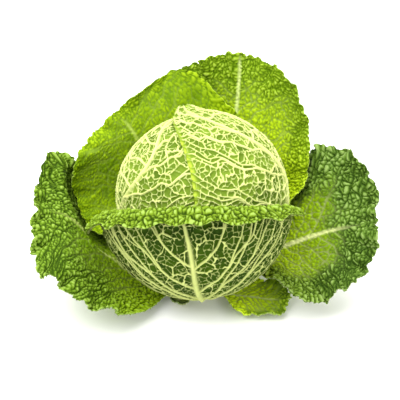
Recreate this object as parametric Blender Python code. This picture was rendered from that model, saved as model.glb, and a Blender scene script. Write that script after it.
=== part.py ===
"""Savoy cabbage: a round head wrapped in net-veined leaves, inside a loose rosette of crinkled outer leaves.

Metres, +Z up. The origin is the centre of the cut stem's flat face, on which the cabbage stands.
-Y is the front, where one wrapper leaf cups the head and curls its rim outwards.
Every leaf is a thin curved blade worked out by a formula. Its surface is divided into irregular
six-sided cells: they are pressed in on the outside, so that the veins stand up between them as a net,
and puffed up on the inside, as the blisters of a savoy leaf are.
"""

import math
import random

import bmesh
import bpy
import numpy as np
from mathutils import Vector

# The head: a ball that leans back a little over its stem.
HEAD_RADIUS = 0.080
HEAD_CENTRE = np.array((0.0, 0.006, 0.100))
HEAD_LEAN = math.radians(15)
CROWN_LEAN = math.radians(14)  # the wrapping leaves end behind the top, and left of it
CROWN_SWAY = math.radians(11)
CORE_RADIUS = 0.0743  # the tight leaves that the two outermost ones wrap
SKULL_STEP = 0.0042  # from one wrapping leaf of the head to the next

# The wrapper leaf's cup, a little wider than the head and lower.
CUP_RADIUS = 0.088
CUP_CENTRE = np.array((-0.003, 0.000, 0.0955))
CUP_SWAY = math.radians(4)
LIP_RADIUS = 0.0070
LIP_TAIL = 0.0105
LIP_DROOP = math.radians(52)

# The stem stub.
STEM_RADIUS = 0.0175
STEM_TOP_RADIUS = 0.0120
STEM_GAP = 0.0008
STEM_SIDES = 20

# Blades.
HEAD_BLADE = 0.0020
OUTER_BLADE = 0.0016
CELL_SHARE = 0.74  # of a cell's width is its floor, and the rest is vein
SEED = 11

GREENS = {
    "stem": (0.78, 0.80, 0.52),
    "head": (0.66, 0.78, 0.34),
    "wrapper": (0.30, 0.47, 0.13),
    "lime": (0.42, 0.60, 0.06),
    "outer": (0.17, 0.36, 0.08),
}

# Outer leaves. Each midrib runs through hand-placed points from the stem to the leaf's tip.
# half_width, and shoulder, the share of the length where it is reached, are left and right of the midrib,
# seen from the stem. roll and cup are in degrees, at the stem and at the tip. ruffle is the margin's wave:
# its height, number and start. lobes are the same for the outline. Each leaf lies outside of the ones named.
OUTER_LEAVES = {
    "outer_leaf_back_left": {
        "azimuth": 118,
        "midrib": [(-0.0085, 0.0095, 0.0155), (-0.0200, 0.0480, 0.0280),
                   (-0.0395, 0.0750, 0.0670), (-0.0615, 0.0855, 0.1175), (-0.0815, 0.0965, 0.1385)],
        "half_width": (0.087, 0.099),
        "shoulder": (0.38, 0.58),
        "squareness": 0.16,
        "roll": (0, -16),
        "cup": (36, 32),
        "ruffle": (0.0032, 6, 3.0),
        "lobes": (0.024, 6, -2.6),
        "outside_of": ["head"],
        "cells": (9, 6),
        "stalk_rows": 2,
        "colour": "lime",
    },
    "outer_leaf_back_right": {
        "azimuth": 70,
        "midrib": [(0.0072, 0.0145, 0.0115), (0.0155, 0.0560, 0.0185),
                   (0.0285, 0.0970, 0.0650), (0.0355, 0.1180, 0.1310), (0.0380, 0.1315, 0.1820)],
        "half_width": (0.094, 0.090),
        "shoulder": (0.42, 0.46),
        "squareness": 0.02,
        "roll": (0, 2),
        "cup": (54, 28),
        "ruffle": (0.0045, 7, 0.4),
        "lobes": (0.012, 9, 0.9),
        "outside_of": ["head", "outer_leaf_back_left"],
        "cells": (9, 6),
        "stalk_rows": 2,
        "colour": "outer",
    },
    "outer_leaf_left": {
        "azimuth": 187,
        "midrib": [(-0.0205, -0.0055, 0.0075), (-0.0488, -0.0062, 0.0085),
                   (-0.0835, -0.0020, 0.0370), (-0.1188, -0.0060, 0.0800), (-0.1505, -0.0100, 0.0905)],
        "half_width": (0.087, 0.070),
        "shoulder": (0.36, 0.42),
        "squareness": 0.46,
        "roll": (0, -24),
        "cup": (7, 14),
        "ruffle": (0.0055, 8, 0.9),
        "lobes": (0.018, 11, -0.46),
        "outside_of": ["head", "wrapper_leaf_front", "outer_leaf_back_left", "outer_leaf_back_right"],
        "cells": (9, 6),
        "stalk_rows": 2,
        "colour": "outer",
    },
    "outer_leaf_right": {
        "azimuth": 3,
        "midrib": [(0.0220, -0.0030, 0.0075), (0.0530, 0.0090, 0.0280),
                   (0.0870, 0.0110, 0.0430), (0.1270, 0.0030, 0.0640), (0.1615, -0.0100, 0.0780)],
        "half_width": (0.088, 0.072),
        "shoulder": (0.49, 0.45),
        "squareness": 0.15,
        "roll": (0, 36),
        "cup": (20, 12),
        "ruffle": (0.0055, 8, 2.4),
        "lobes": (0.029, 10, 3.45),
        "outside_of": ["head", "wrapper_leaf_front", "outer_leaf_back_right"],
        "cells": (9, 6),
        "stalk_rows": 2,
        "colour": "outer",
    },
    "outer_leaf_front_right": {
        "azimuth": -32,
        "midrib": [(0.0180, -0.0125, 0.0038), (0.033, -0.019, 0.0050), (0.049, -0.024, 0.0060),
                   (0.066, -0.029, 0.0070), (0.082, -0.032, 0.0085)],
        "half_width": (0.028, 0.029),
        "shoulder": (0.35, 0.35),
        "squareness": 0.3,
        "roll": (0, 6),
        "cup": (10, 14),
        "ruffle": (0.0020, 6, 1.4),
        "lobes": (0.030, 7, 0.8),
        "outside_of": [],
        "cells": (5, 4),
        "stalk_rows": 1,
        "colour": "lime",
    },
    "outer_leaf_front": {
        "azimuth": -125,
        "midrib": [(-0.0118, -0.0182, 0.0036), (-0.0145, -0.0205, 0.0042), (-0.0175, -0.0235, 0.0044),
                   (-0.0205, -0.0265, 0.0046), (-0.0235, -0.0300, 0.0048)],
        "half_width": (0.010, 0.010),
        "shoulder": (0.40, 0.40),
        "squareness": 0.2,
        "roll": (0, 0),
        "cup": (10, 20),
        "ruffle": (0.0006, 5, 0.4),
        "lobes": (0.030, 5, 0.8),
        "outside_of": [],
        "cells": (3, 2),
        "stalk_rows": 1,
        "colour": "outer",
    },
}
LEAF_GAP = 0.0058  # between the middles of two leaves near the stem, where one lies on the other
LEAF_GAP_SPREAD = 0.0048  # and this much more where they have spread out
GROUND_CLEAR = 0.0036  # the height of a leaf's middle where it lies on the ground


def smooth_step(x):
    """0 below 0, 1 above 1, and a smooth S between."""
    x = np.clip(x, 0.0, 1.0)
    return x * x * (3 - 2 * x)


def unit(vectors):
    return vectors / np.maximum(np.linalg.norm(vectors, axis=-1, keepdims=True), 1e-12)


def spline(points, t):
    """A smooth Catmull-Rom curve through the points, with its direction, for t from 0 to 1."""
    points = np.array(points, float)
    ends = [2 * points[0] - points[1], *points, 2 * points[-1] - points[-2]]
    knots = np.array(ends)
    spans = len(points) - 1
    place = np.asarray(t) * spans
    k = np.clip(np.floor(place).astype(int), 0, spans - 1)
    f = (place - k)[..., None]
    a, b, c, d = (knots[k + i] for i in range(4))
    position = 0.5 * (2 * b + (c - a) * f + (2 * a - 5 * b + 4 * c - d) * f**2 + (3 * b - a - 3 * c + d) * f**3)
    direction = 0.5 * ((c - a) + 2 * (2 * a - 5 * b + 4 * c - d) * f + 3 * (3 * b - a - 3 * c + d) * f**2)
    return position, unit(direction)


def inner_normals(points):
    """The direction that each grid point's leaf faces on its upper side: towards the stem or the sky."""
    rising = points[1:, 1:] - points[:-1, :-1]
    falling = points[1:, :-1] - points[:-1, 1:]
    faces = np.cross(falling, rising)
    normals = np.zeros_like(points)
    normals[:-1, :-1] += faces
    normals[1:, :-1] += faces
    normals[:-1, 1:] += faces
    normals[1:, 1:] += faces
    return unit(normals)


def head_point(centre, out, up, azimuth, lean, sway):
    """A point by its distance from an axis and along it, where the axis leans back and sways to the left."""
    lean, sway = lean + 0 * out, sway + 0 * out
    axis = np.stack((-np.sin(sway), np.sin(lean) * np.cos(sway), np.cos(lean) * np.cos(sway)), axis=-1)
    back = np.stack((0 * lean, np.cos(lean), -np.sin(lean)), axis=-1)
    right = np.cross(back, axis)
    flat = np.cos(azimuth)[..., None] * right + np.sin(azimuth)[..., None] * back
    return centre + out[..., None] * flat + up[..., None] * axis


def outer_surface(leaf, u, v):
    """A spreading leaf over the square -1..1: an egg-shaped blade swept along its midrib."""
    rounding = (1 - leaf["squareness"]) / 2 * np.where(v > 0, 1, 0.25)
    x = u * np.sqrt(1 - rounding * v * v)
    y = v * np.sqrt(1 - rounding * u * u)
    reach = np.maximum(np.abs(u), np.abs(v))
    turn = np.arctan2(x, y)
    beyond_stalk = smooth_step(1.1 * (y + 1) - 0.3)
    depth, count, start = leaf["lobes"]
    spread = 1 + depth * beyond_stalk * reach**6 * np.sin(count * turn + start)
    t = (y * spread + 1) / 2
    x = x * spread
    middle, along = spline(leaf["midrib"], t)
    azimuth = math.radians(leaf["azimuth"])
    side = np.array((-math.sin(azimuth), math.cos(azimuth), 0.0))
    across = unit(side - (along @ side)[..., None] * along)
    inward = np.cross(along, across)
    bend = smooth_step(t)
    roll = np.radians(leaf["roll"][0] + (leaf["roll"][1] - leaf["roll"][0]) * bend)[..., None]
    across, inward = (
        across * np.cos(roll) + inward * np.sin(roll),
        inward * np.cos(roll) - across * np.sin(roll),
    )
    shoulder = np.where(x > 0, leaf["shoulder"][0], leaf["shoulder"][1])
    stalk = 0.11 + 0.89 * smooth_step((t - 0.04) / (shoulder + 0.05))
    width = np.where(x > 0, leaf["half_width"][0], leaf["half_width"][1]) * stalk
    cup = np.radians(leaf["cup"][0] + (leaf["cup"][1] - leaf["cup"][0]) * t)
    sideways = width * np.sin(cup * x) / cup
    height, waves, phase = leaf["ruffle"]
    lift = width * (1 - np.cos(cup * x)) / cup
    lift += height * beyond_stalk * reach**4 * np.sin(waves * turn + phase)
    return middle + across * sideways[..., None] + inward * lift[..., None]


def head_radius(theta):
    """The radius of the head's under leaf, at the angle theta from the stem: it draws in to the crown."""
    return HEAD_RADIUS - SKULL_STEP - 0.003 * smooth_step((theta - 1.7) / 1.2)


def seam(theta):
    """The azimuth of the seam down the front, where the right leaf's margin lies on the left leaf."""
    height = np.clip((np.degrees(theta) - 100) / 60, 0, 1.2)
    return np.radians(-94 - 24 * height**2)


def skull_surface(right, u, v):
    """One of the two leaves that wrap the head, from the stem at v = -1 to the crown at v = 1."""
    theta = math.radians(14) + math.radians(164) * (v + 1) / 2
    bend = smooth_step((theta - 1.4) / 1.74)
    narrow = smooth_step((theta - 0.1) / 0.9)
    if right:
        first = math.radians(-50) + (seam(theta) - math.radians(-50)) * narrow
        last = np.radians(50 + 36 * narrow + 14 * bend)
        radius = head_radius(theta) + SKULL_STEP + 0.004 * smooth_step((theta - 2.3) / 0.75)
    else:
        first = np.radians(128 - 54 * narrow - 20 * bend)
        last = math.radians(232) + (seam(theta) + math.radians(372) - math.radians(232)) * narrow
        last = last + math.radians(24) * bend
        radius = head_radius(theta)
    azimuth = first + (last - first) * (u + 1) / 2
    return head_point(HEAD_CENTRE, radius * np.sin(theta), -radius * np.cos(theta), azimuth,
                      HEAD_LEAN + CROWN_LEAN * bend, CROWN_SWAY * bend)


def wrapper_surface(u, v):
    """The front leaf: a cup round the head, whose margin curls outwards in a lip and hangs over."""
    cup_share, lip_share = 0.46, 0.86
    rise = np.clip((v + 1) / (cup_share + 1), 0, 1)
    azimuth = np.radians(-90 - 9 * rise + (81 + 9 * rise * u) * u)
    fall = np.where(u < 0, math.radians(17), math.radians(18)) * np.abs(u) ** 2.2
    fold = math.radians(97) - fall
    theta = math.radians(6) + (fold - math.radians(6)) * rise
    flare = np.where(u < 0, 0.002, 0.0) * np.abs(u) ** 4 * smooth_step(rise - 0.35)
    out = (CUP_RADIUS + flare) * np.sin(theta)
    up = -(CUP_RADIUS + flare) * np.cos(theta)
    share = np.clip((v - cup_share) / (lip_share - cup_share), 0, 1)
    slope = fold - (fold + LIP_DROOP) * share
    curl = LIP_RADIUS * (1 - 0.25 * u * u)
    out += curl * (np.sin(fold) - np.sin(slope))
    up += curl * (np.cos(slope) - np.cos(fold))
    tail = LIP_TAIL * np.clip((v - lip_share) / (1 - lip_share), 0, 1) * (1 - np.where(u < 0, 0.35, 0.8) * u * u)
    out += tail * np.cos(slope)
    up += tail * np.sin(slope) + 0.0012 * np.sin(9 * u + 1) * smooth_step((v - 0.3) / 0.7)
    return head_point(CUP_CENTRE, out, up, azimuth, HEAD_LEAN, CUP_SWAY)


def settle(points, others):
    """Moves a leaf's points away from the head's centre until they clear the leaves inside it, and off the ground."""
    ray = (points - HEAD_CENTRE).reshape(-1, 3)
    distance = np.linalg.norm(ray, axis=1)
    needed = np.zeros(len(ray))
    for other in others:
        other_ray = other.reshape(-1, 3) - HEAD_CENTRE
        other_distance = np.linalg.norm(other_ray, axis=1)
        turn = np.arccos(np.clip(unit(ray) @ unit(other_ray).T, -1, 1))
        needed = np.maximum(needed, (other_distance + LEAF_GAP - 0.055 * turn).max(axis=1))
    spread = np.hypot(points[..., 0], points[..., 1]).reshape(-1)
    needed += LEAF_GAP_SPREAD * smooth_step((spread - 0.03) / 0.04) * (needed > 0)
    softness = 0.0012
    pushed = distance + softness * np.logaddexp(0, (needed - distance) / softness)
    points = HEAD_CENTRE + unit(ray) * pushed[:, None]
    points[:, 2] = GROUND_CLEAR + softness * np.logaddexp(0, (points[:, 2] - GROUND_CLEAR) / softness)
    return points


def cell_grid(rows, columns, surface, draw):
    """Grid points over the square -1..1, shaken and zigzagged so that its cells are uneven hexagons.

    Where the cells are narrow, as at the stem, their sides are nearly straight.
    """
    v, u = np.meshgrid(np.linspace(-1, 1, rows + 1), np.linspace(-1, 1, 2 * columns + 1), indexing="ij")
    flat = surface(u, v)
    width = np.linalg.norm(np.diff(flat, axis=1), axis=-1).mean(axis=1)
    height = np.linalg.norm(flat[-1] - flat[0], axis=-1).mean() / rows
    bold = np.clip(1.6 * width / height, 0, 1)[:, None]
    shake_v = np.array([[draw.uniform(-0.13, 0.13) for _ in row] for row in v])
    shake_u = np.array([[draw.uniform(-0.22, 0.22) for _ in row] for row in v])
    row, column = np.indices(v.shape)
    zigzag = np.where((row + column) % 2 == 0, 0.17, -0.17)
    v[1:-1] += (bold * (zigzag + shake_v) / rows * 2)[1:-1]
    u[:, 1:-1] += (shake_u / columns)[:, 1:-1]
    return u, v


def cells(rows, columns, rib_column):
    """The row and the first and last column of each cell. Odd rows shift half a cell, and none crosses the midrib."""
    found = []
    for row in range(rows):
        for start in range(-(row % 2), 2 * columns, 2):
            low, high = max(start, 0), min(start + 2, 2 * columns)
            cuts = [low, rib_column, high] if low < rib_column < high else [low, high]
            found += [(row, first, last) for first, last in zip(cuts, cuts[1:])]
    return found


def add_strip(mesh, low, high):
    """Triangles between two rows of corners, always split the same way."""
    for a, b, c, d in zip(low, low[1:], high, high[1:]):
        mesh.faces.new((a, b, d))
        mesh.faces.new((a, d, c))


def add_cell(mesh, low, high, normal, height):
    """One cell between two rows of corners: its floor is moved along the normal, and its rim stays as vein."""
    ring = low + high[::-1]
    centre = sum((vertex.co for vertex in ring), Vector()) / len(ring)
    around = list(zip(ring, ring[1:] + ring[:1]))
    area = sum(((a.co - centre).cross(b.co - centre) for a, b in around), Vector()).length / 2
    size = 4 * area / sum((a.co - b.co).length for a, b in around)
    move = height * min(1.0, (size / 0.010) ** 2)
    if move == 0:
        add_strip(mesh, low, high)
        return
    floor = [mesh.verts.new(centre + (vertex.co - centre) * CELL_SHARE + normal * move) for vertex in ring]
    add_strip(mesh, ring + ring[:1], floor + floor[:1])
    add_strip(mesh, floor[:len(low)], floor[len(low):][::-1])


def thickness_of(points, v, blade, rib):
    """The blade's thickness at each grid point: it's thicker along the midrib, most of all near the stem."""
    rib_height, rib_width, rib_column = rib
    off_rib = np.linalg.norm(points - points[:, rib_column, None], axis=-1)
    shape = np.clip(1 - (off_rib / rib_width) ** 2, 0, 1)
    return blade + rib_height * shape * (1 - (v + 1) / 2) ** 0.8


def build_leaf(name, surface, grid, blade, rib, pits, blisters, colour, backing=0.0):
    """One leaf as a closed solid: its two faces, the rim between them, and the relief of its cells.

    rib is the midrib's height, half width and place across the grid. pits is how far the cells sink on
    the outside, and blisters is how far they rise on the inside, each with the first row of cells that does.
    backing is extra depth on the inside.
    """
    rows, columns = grid
    draw = random.Random(f"{SEED} {name}")
    u, v = cell_grid(rows, columns, surface, draw)
    rib_column = rib[2]
    u[:, rib_column] = u[0, rib_column]
    points = surface(u, v)
    normals = inner_normals(points)
    thickness = thickness_of(points, v, blade, rib)
    inner = points + normals * (blade / 2 + backing)
    outer = points + normals * (blade / 2 - thickness)[..., None]

    mesh = bmesh.new()
    inner_verts = [[mesh.verts.new(p) for p in row] for row in inner]
    outer_verts = [[mesh.verts.new(p) for p in row] for row in outer]
    for row, first, last in cells(rows, columns, rib_column):
        normal = Vector(normals[row:row + 2, first:last + 1].reshape(-1, 3).mean(axis=0)).normalized()
        span = slice(first, last + 1)
        rise, sink = (depth if row >= first_row else 0 for depth, first_row in (blisters, pits))
        add_cell(mesh, inner_verts[row][span], inner_verts[row + 1][span], normal, rise)
        add_cell(mesh, outer_verts[row][span], outer_verts[row + 1][span], normal, sink)
    last_row, last_column = rows, 2 * columns
    edge = [(0, j) for j in range(last_column)] + [(i, last_column) for i in range(last_row)]
    edge += [(last_row, j) for j in range(last_column, 0, -1)] + [(i, 0) for i in range(last_row, 0, -1)]
    rim = edge + edge[:1]
    add_strip(mesh, [inner_verts[i][j] for i, j in rim], [outer_verts[i][j] for i, j in rim])
    bmesh.ops.recalc_face_normals(mesh, faces=mesh.faces[:])
    return finish_object(name, mesh, colour)


def finish_object(name, mesh, colour):
    """Makes the mesh an object with a plain material of the sub-part's own colour."""
    data = bpy.data.meshes.new(name)
    mesh.to_mesh(data)
    mesh.free()
    data.shade_smooth()
    data.set_sharp_from_angle(angle=math.radians(50))
    material = bpy.data.materials.new(name)
    material.use_nodes = True
    shader = material.node_tree.nodes["Principled BSDF"]
    shader.inputs["Base Color"].default_value = (*GREENS[colour], 1.0)
    shader.inputs["Roughness"].default_value = 0.45
    data.materials.append(material)
    made = bpy.data.objects.new(name, data)
    bpy.context.scene.collection.objects.link(made)
    return made


def build_stem():
    """The stub: a flat round cut at the foot, drawn up and forwards to the bottom of the head."""
    mesh = bmesh.new()
    axis = Vector((0, math.sin(HEAD_LEAN), math.cos(HEAD_LEAN)))
    top = Vector(HEAD_CENTRE) - axis * (CORE_RADIUS + STEM_GAP)
    rings = [(0.0, STEM_RADIUS - 0.001), (0.04, STEM_RADIUS), (0.33, STEM_RADIUS - 0.0008),
             (0.68, STEM_TOP_RADIUS + 0.0020), (1.0, STEM_TOP_RADIUS)]
    made = []
    for share, radius in rings:
        tilt = HEAD_LEAN * share**2
        back = Vector((0, math.cos(tilt), -math.sin(tilt)))
        turns = (2 * math.pi * k / STEM_SIDES for k in range(STEM_SIDES))
        made.append([mesh.verts.new(top * share + radius * (math.cos(a) * Vector((1, 0, 0)) + math.sin(a) * back))
                     for a in turns])
    for low, high in zip(made, made[1:]):
        add_strip(mesh, low + low[:1], high + high[:1])
    mesh.faces.new(made[0][::-1])
    mesh.faces.new(made[-1])
    bmesh.ops.recalc_face_normals(mesh, faces=mesh.faces[:])
    return finish_object("stem", mesh, "stem")


def build_head():
    """The dense head: a core of tight leaves, and the outermost but one, which wraps its left half."""
    leaf = build_leaf("left_leaf", lambda u, v: skull_surface(False, u, v), (12, 9), HEAD_BLADE,
                      (0.0012, 0.004, 12), (0.0012, 0), (0, 0), "head", backing=0.0032)
    mesh = bmesh.new()
    bmesh.ops.create_icosphere(mesh, subdivisions=4, radius=CORE_RADIUS)
    bmesh.ops.translate(mesh, verts=mesh.verts[:], vec=Vector(HEAD_CENTRE))
    head = finish_object("head", mesh, "head")
    join = head.modifiers.new("join", "BOOLEAN")
    join.operation = "UNION"
    join.solver = "EXACT"
    join.object = leaf
    joined = bpy.data.meshes.new_from_object(head.evaluated_get(bpy.context.evaluated_depsgraph_get()))
    head.modifiers.clear()
    head.data = joined
    bpy.data.objects.remove(leaf)
    return head


def main():
    for old in list(bpy.data.objects):
        bpy.data.objects.remove(old)
    build_stem()
    build_head()
    build_leaf("head_leaf_right", lambda u, v: skull_surface(True, u, v), (12, 9), HEAD_BLADE,
               (0.0012, 0.004, 7), (0.0012, 0), (0, 0), "head")
    build_leaf("wrapper_leaf_front", wrapper_surface, (13, 10), HEAD_BLADE, (0.0025, 0.005, 10), (0.0012, 0),
               (0.0012, 9), "wrapper")

    v, u = np.meshgrid(np.linspace(-1, 1, 61), np.linspace(-1, 1, 61), indexing="ij")
    laid = {
        "head": np.concatenate([skull_surface(side, u, v) for side in (False, True)]),
        "wrapper_leaf_front": wrapper_surface(u, v),
    }
    for name, leaf in OUTER_LEAVES.items():
        others = [laid[other] for other in leaf["outside_of"]]

        def surface(u, v, leaf=leaf, others=others):
            return settle(outer_surface(leaf, u, v), others).reshape(*u.shape, 3)

        rib_height = 0.036 * leaf["half_width"][0]
        rib = (rib_height, 2 * rib_height, leaf["cells"][1])
        relief = (0.0016, leaf["stalk_rows"])
        build_leaf(name, surface, leaf["cells"], OUTER_BLADE, rib, relief, relief, leaf["colour"])
        points = surface(u, v)
        swell = thickness_of(points, v, 0.0, (rib_height, 2 * rib_height, 30))
        laid[name] = points - inner_normals(points) * swell[..., None]


main()
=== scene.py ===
import math
import bpy
import numpy as np
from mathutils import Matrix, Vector


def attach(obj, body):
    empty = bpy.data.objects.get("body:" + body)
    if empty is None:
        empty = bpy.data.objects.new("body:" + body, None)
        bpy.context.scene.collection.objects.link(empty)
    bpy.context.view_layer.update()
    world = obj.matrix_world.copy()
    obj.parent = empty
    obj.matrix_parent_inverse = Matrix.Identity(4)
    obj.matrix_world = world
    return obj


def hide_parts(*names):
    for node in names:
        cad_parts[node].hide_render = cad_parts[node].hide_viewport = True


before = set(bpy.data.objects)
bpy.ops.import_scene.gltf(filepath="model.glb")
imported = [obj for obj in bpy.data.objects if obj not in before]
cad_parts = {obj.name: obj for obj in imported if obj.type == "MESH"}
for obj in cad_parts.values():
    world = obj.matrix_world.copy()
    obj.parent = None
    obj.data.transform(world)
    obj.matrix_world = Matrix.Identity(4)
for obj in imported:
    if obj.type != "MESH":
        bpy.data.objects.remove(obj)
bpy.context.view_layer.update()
chance = np.random.default_rng(20)  # every random draw comes from here, in order

# Lengths are in metres. Each leaf lies on the same surface as the solid that it replaces.
# On a leaf, u runs from -1 to 1 across it and v from -1 at the stem to 1 at its tip.
# Its inner side is the one towards the stem or the sky.

# Shared curves


# x*x*(3 - 2x) between 0 and 1
def smoothStep(x):
    x = np.clip(x, 0.0, 1.0)
    return x * x * (3 - 2 * x)


# smoothStep from 0 at the start of a stretch to 1 at its end, given as (start, length)
def ease(x, stretch):
    return smoothStep((x - stretch[0]) / stretch[1])


# a level plus waves, each size*sin(count*x + start)
def ripple(x, waves, level=0.0):
    return sum((size * np.sin(count * x + start) for size, count, start in waves), level)


# each vector divided by its length
def unit(vectors):
    return vectors / np.maximum(np.linalg.norm(vectors, axis=-1, keepdims=True), 1e-12)


# a Catmull-Rom curve through the points and its direction, t from 0 to 1
def spline(points, t):
    points = np.array(points, float)
    knots = np.array([2 * points[0] - points[1], *points, 2 * points[-1] - points[-2]])
    spans = len(points) - 1
    place = np.asarray(t) * spans
    k = np.clip(np.floor(place).astype(int), 0, spans - 1)
    f = (place - k)[..., None]
    a, b, c, d = (knots[k + i] for i in range(4))
    bend, twist = 2 * a - 5 * b + 4 * c - d, 3 * b - a - 3 * c + d
    position = 0.5 * (2 * b + (c - a) * f + bend * f**2 + twist * f**3)
    direction = 0.5 * ((c - a) + 2 * bend * f + 3 * twist * f**2)
    return position, unit(direction)


# the side of the stem or the sky: the cross product of each face's diagonals, summed at its corners
def innerNormals(points):
    faces = np.cross(points[1:, :-1] - points[:-1, 1:], points[1:, 1:] - points[:-1, :-1])
    normals = np.zeros_like(points)
    normals[:-1, :-1] += faces
    normals[1:, :-1] += faces
    normals[:-1, 1:] += faces
    normals[1:, 1:] += faces
    return unit(normals)


# The head's two outermost leaves, which meet along a seam down the front

# theta runs from 0 at the stem to pi at the crown. A stretch in it is (start, length) in radians.
head = {
    "radius": 0.080, "centre": np.array((0.0, 0.006, 0.100)), "lean": math.radians(15),
    "foot": math.radians(14), "span": math.radians(164),  # where the leaves start, and how far they go
    "step": 0.0042,  # how far the right leaf stands proud of the left one
    "crownDraw": 0.003, "drawn": (1.7, 1.2),  # how far the crown draws in, and along which stretch
    "crownLean": math.radians(14), "crownSway": math.radians(11), "bent": (1.4, 1.74),
    "lift": 0.006, "lifted": (2.80, 0.33),  # the right leaf's free tip
    "seam": -94, "seamSweep": -24, "seamFrom": 100, "seamLength": 60,  # degrees
    "opened": (0.1, 0.9),  # the stretch in which the leaves open out from their stalks
    "leftBack": (128, -54, -20), "rightBack": (50, 36, 14),  # degrees: at the stem, and what is added
    "leftFront": 232, "rightFront": -50, "underlap": 12, "crownUnderlap": 24,  # degrees
}


# centre + out*(cos a*right + sin a*back) + up*axis, on an axis that leans back and sways left
def headPoint(centre, out, up, azimuth, lean, sway):
    lean, sway = lean + 0 * out, sway + 0 * out
    axis = np.stack((-np.sin(sway), np.sin(lean) * np.cos(sway), np.cos(lean) * np.cos(sway)), axis=-1)
    back = np.stack((0 * lean, np.cos(lean), -np.sin(lean)), axis=-1)
    right = np.cross(back, axis)
    flat = np.cos(azimuth)[..., None] * right + np.sin(azimuth)[..., None] * back
    return centre + out[..., None] * flat + up[..., None] * axis


# the radius less the step and, towards the crown, less crownDraw
def headRadius(theta):
    return head["radius"] - head["step"] - head["crownDraw"] * ease(theta, head["drawn"])


# azimuth = seam + seamSweep * h^2 degrees, where h rises with theta
def seamAzimuth(theta):
    height = np.clip((np.degrees(theta) - head["seamFrom"]) / head["seamLength"], 0, 1.2)
    return np.radians(head["seam"] + head["seamSweep"] * height**2)


# a ball's surface from stem to crown, between two azimuths that close on the crown
def headLeafSurface(right, u, v):
    theta = head["foot"] + head["span"] * (v + 1) / 2
    bend = ease(theta, head["bent"])
    opened = ease(theta, head["opened"])
    radius = headRadius(theta)
    stem, sides, crown = head["rightBack"] if right else head["leftBack"]
    back = np.radians(stem + sides * opened + crown * bend)
    front = math.radians(head["rightFront"] if right else head["leftFront"])
    if right:
        first, last = front + (seamAzimuth(theta) - front) * opened, back
        radius = radius + head["step"] + head["lift"] * ease(theta, head["lifted"]) ** 2
    else:
        seam = seamAzimuth(theta) + math.radians(360 + head["underlap"])
        first, last = back, front + (seam - front) * opened + math.radians(head["crownUnderlap"]) * bend
    azimuth = first + (last - first) * (u + 1) / 2
    return headPoint(head["centre"], radius * np.sin(theta), -radius * np.cos(theta), azimuth,
                     head["lean"] + head["crownLean"] * bend, head["crownSway"] * bend)


# The wrapper leaf, which cups the head and folds outwards into a lip

wrapper = {
    "radius": 0.088, "centre": np.array((-0.003, 0.000, 0.0955)), "sway": math.radians(4),
    "halfWidth": 81, "turn": 9,  # degrees round the head, and how far the midrib turns left on its way up
    "foot": math.radians(6), "fold": math.radians(97),  # theta at the stalk and at the fold
    "fall": (math.radians(17), math.radians(18)), "fallPower": 2.2,  # how the fold falls to the two ends
    "flare": (0.002, 0.0), "flareFrom": 0.35,  # how far the two sides stand off, and from which rise on
    "cupShare": 0.46, "lipShare": 0.86,  # v at the fold and at the end of its arc
    "lipRadius": 0.0070, "lipDroop": math.radians(52), "endCurl": 0.25,
    "lipTail": 0.0105, "endTail": (0.35, 0.8),  # the tail's length, and what it loses at the two ends
    "lipWaves": ((0.16, 23, 0), (0.13, 41, 2)),  # share of the tail's length, count and start
    "rimWaves": ((0.0012, 9, 1), (0.0007, 29, 0)), "waved": (0.3, 0.7),  # height, count and start
}


# a ball's surface up to the fold, then a small arc outwards and a straight tail with a wavy edge
def wrapperSurface(u, v):
    w = wrapper
    rise = np.clip((v + 1) / (w["cupShare"] + 1), 0, 1)
    turn = w["turn"] * rise
    azimuth = np.radians(-90 - turn + (w["halfWidth"] + turn * u) * u)
    fold = w["fold"] - np.where(u < 0, *w["fall"]) * np.abs(u) ** w["fallPower"]
    theta = w["foot"] + (fold - w["foot"]) * rise
    radius = w["radius"] + np.where(u < 0, *w["flare"]) * np.abs(u) ** 4 * smoothStep(rise - w["flareFrom"])
    out = radius * np.sin(theta)
    up = -radius * np.cos(theta)
    rolled = np.clip((v - w["cupShare"]) / (w["lipShare"] - w["cupShare"]), 0, 1)
    slope = fold - (fold + w["lipDroop"]) * rolled
    curl = w["lipRadius"] * (1 - w["endCurl"] * u * u)
    out += curl * (np.sin(fold) - np.sin(slope))
    up += curl * (np.cos(slope) - np.cos(fold))
    tail = w["lipTail"] * np.clip((v - w["lipShare"]) / (1 - w["lipShare"]), 0, 1)
    tail = tail * (1 - np.where(u < 0, *w["endTail"]) * u * u) * ripple(u, w["lipWaves"], 1)
    out += tail * np.cos(slope)
    up += tail * np.sin(slope)
    up += ripple(u, w["rimWaves"]) * ease(v, w["waved"])
    return headPoint(w["centre"], out, up, azimuth, head["lean"], w["sway"])


# The outer leaves, each swept along its midrib

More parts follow.
